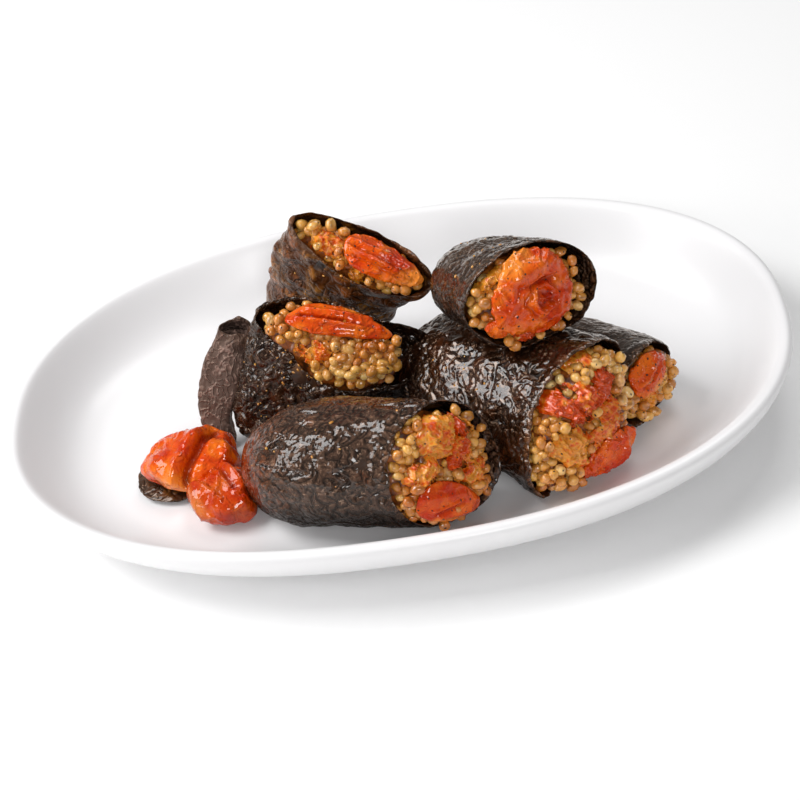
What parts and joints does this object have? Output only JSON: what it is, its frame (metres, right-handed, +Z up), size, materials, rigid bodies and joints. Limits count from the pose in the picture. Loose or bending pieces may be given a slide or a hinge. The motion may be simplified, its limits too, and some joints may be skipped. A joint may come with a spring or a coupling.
{
  "type": "stuffed dried eggplants on an oval platter",
  "caption": "Dried eggplant skins stuffed with a cooked grain filling and tomato pieces, piled on a white oval porcelain platter with loose stewed tomatoes.",
  "frame": {"origin": "on the surface that the platter stands on, below the middle of its outline", "axes": "+X along the platter's long axis, to the diner's right, -Y towards the diner, +Z up"},
  "size_m": [0.28, 0.192, 0.084],
  "materials": {
    "glaze": "white glossy porcelain glaze",
    "skin": "cooked dried eggplant skin, brown-black, wrinkled and oily",
    "filling": "cooked coarse grain, tan and golden, glistening with oil and specked with spice",
    "tomato": "stewed tomato, red-orange, wet and wrinkled",
    "orange": "translucent orange tomato skin soaked in oil"
  },
  "bodies": {
    "root": {"platter": "glaze", "skin_front": "skin", "skin_middle_left": "skin", "skin_middle_right": "skin", "skin_far_right": "skin", "skin_back_left": "skin", "skin_top_right": "skin", "skin_fold_left": "skin", "skin_scrap": "skin", "filling_front": "filling", "filling_middle_left": "filling", "filling_middle_right": "filling", "filling_far_right": "filling", "filling_back_left": "filling", "filling_top_right": "filling", "tomato_front": "tomato", "tomato_middle_left": "tomato", "tomato_middle_right": "tomato", "tomato_far_right": "tomato", "tomato_back_left": "tomato", "tomato_top_right": "tomato", "bit_top_right": "tomato", "tomato_loose_back": "tomato", "tomato_loose_front": "tomato", "flap_front": "orange", "flap_middle_right": "orange"}
  },
  "joints": []
}
